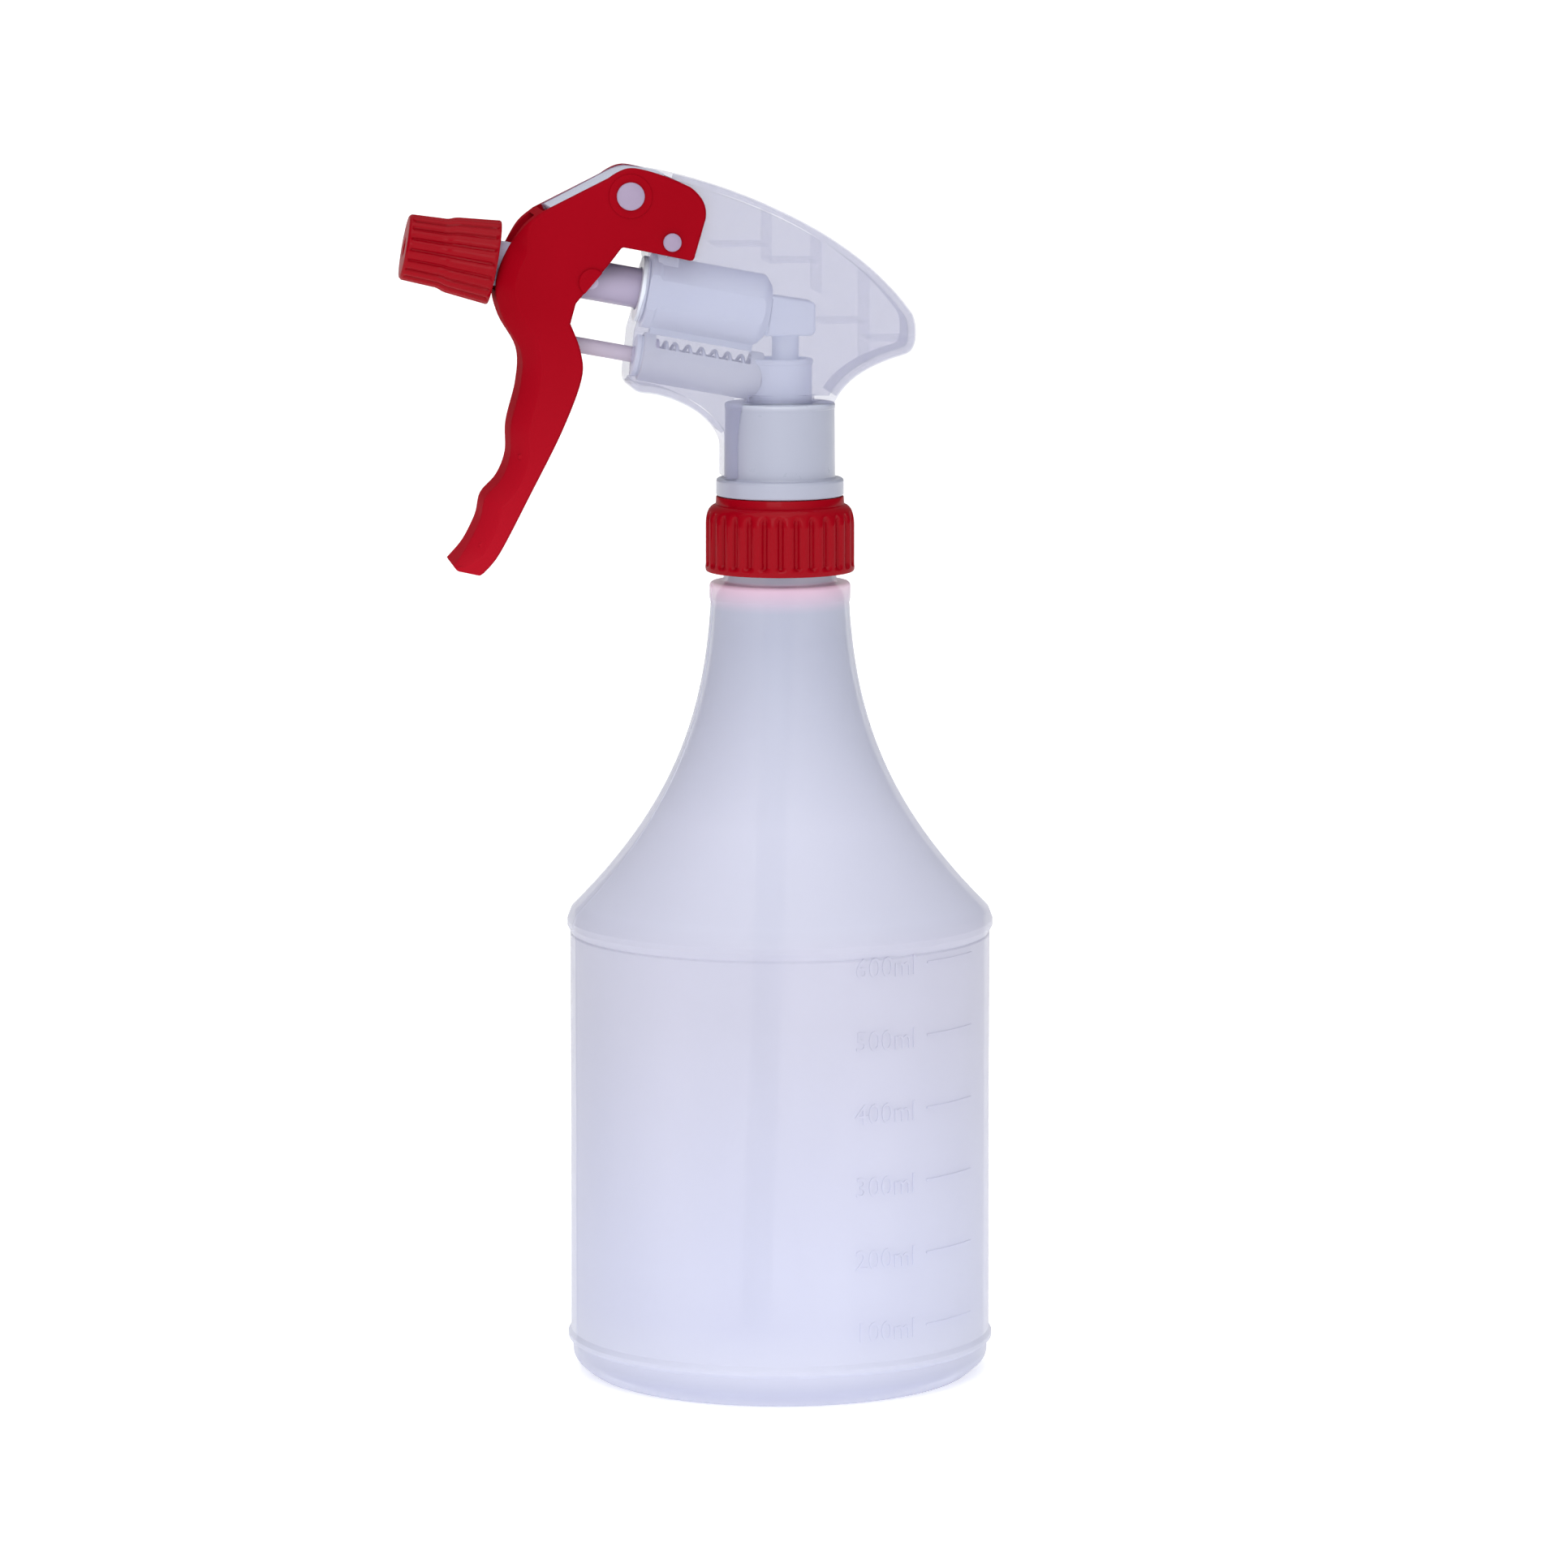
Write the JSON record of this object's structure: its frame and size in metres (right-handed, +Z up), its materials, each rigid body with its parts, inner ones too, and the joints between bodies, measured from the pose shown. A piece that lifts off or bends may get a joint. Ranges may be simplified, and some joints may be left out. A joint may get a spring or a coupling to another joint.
{
  "type": "hand mister",
  "caption": "Trigger spray bottle: round frosted bottle with a sloping shoulder, ribbed screw closure, shrouded piston pump head, curved trigger and fluted adjustable nozzle.",
  "frame": {"origin": "centre of the bottle's base, where it stands", "axes": "+Z up along the bottle's axis, -X towards the nozzle, +Y to the far side of the trigger"},
  "size_m": [0.1314, 0.0948, 0.2692],
  "materials": {
    "frosted_body": "frosted translucent",
    "milky_shroud": "translucent, moulded gloss",
    "milky_plastic": "natural, half opaque",
    "natural_tube": "clear natural",
    "red_plastic": "satin moulded",
    "lilac_plastic": "satin moulded",
    "seal_rubber": "matt",
    "ball_steel": "polished",
    "spring_steel": "drawn wire"
  },
  "bodies": {
    "bottle": {"bottle": "frosted_body"},
    "pump_head": {"pump_body": "milky_plastic", "shroud": "milky_shroud", "neck_gasket": "seal_rubber", "inlet_valve_seat": "milky_plastic", "dip_tube": "natural_tube", "trigger_pivot_pin": "lilac_plastic", "piston_guide_bush": "milky_plastic", "plunger_bush": "milky_plastic", "return_spring": "spring_steel"},
    "closure": {"closure_nut": "red_plastic"},
    "trigger": {"trigger": "red_plastic", "trigger_stop_pin": "lilac_plastic"},
    "piston": {"piston_barrel": "milky_plastic", "piston_front_seal": "seal_rubber", "piston_rear_seal": "seal_rubber", "swirl_core": "milky_plastic", "outlet_spring": "spring_steel"},
    "outlet_valve": {"outlet_ball": "ball_steel"},
    "plunger": {"spring_plunger": "lilac_plastic"},
    "inlet_valve": {"inlet_ball": "ball_steel"},
    "nozzle_carrier": {"nozzle_seal": "seal_rubber"},
    "nozzle": {"nozzle_cap": "red_plastic"}
  },
  "joints": [
    {"name": "head_lift", "type": "slide", "parent": "bottle", "child": "pump_head", "axis": [0, 0, 1], "range_m": [0, 0.195]},
    {"name": "nut_turn", "type": "hinge", "parent": "pump_head", "child": "closure", "pos_m": [0, 0, 0.1876], "axis": [0, 0, 1], "continuous": true},
    {"name": "trigger_squeeze", "type": "hinge", "parent": "pump_head", "child": "trigger", "pos_m": [-0.0341, 0, 0.2631], "axis": [0, -1, 0], "range_deg": [0, 20], "stiffness_Nm_per_rad": 0.6, "springref_deg": -34.38},
    {"name": "piston_slide", "type": "slide", "parent": "pump_head", "child": "piston", "axis": [0.9833, 0, -0.1822], "range_m": [0, 0.0073]},
    {"name": "plunger_slide", "type": "slide", "parent": "pump_head", "child": "plunger", "axis": [0.9833, 0, -0.1822], "range_m": [0, 0.0102], "deforming": ["return_spring"]},
    {"name": "nozzle_advance", "type": "slide", "parent": "piston", "child": "nozzle_carrier", "axis": [-0.9833, 0, 0.1822], "range_m": [0, 0.0031]},
    {"name": "nozzle_turn", "type": "hinge", "parent": "nozzle_carrier", "child": "nozzle", "pos_m": [-0.07214, 0, 0.24991], "axis": [-0.9833, 0, 0.1822], "range_deg": [0, 450]},
    {"name": "inlet_ball_lift", "type": "slide", "parent": "pump_head", "child": "inlet_valve", "axis": [0, 0, 1], "range_m": [0, 0.0015]},
    {"name": "outlet_ball_open", "type": "slide", "parent": "piston", "child": "outlet_valve", "axis": [-0.9833, 0, 0.1822], "range_m": [0, 0.0008], "stiffness_N_per_m": 5, "springref_m": -0.001, "deforming": ["outlet_spring"]}
  ],
  "couplings": [
    {"joint": "piston_slide", "follows": "trigger_squeeze", "m_per_rad": 0.0204},
    {"joint": "plunger_slide", "follows": "trigger_squeeze", "m_per_rad": 0.0286},
    {"joint": "nozzle_advance", "follows": "nozzle_turn", "m_per_rad": 0.000382}
  ]
}
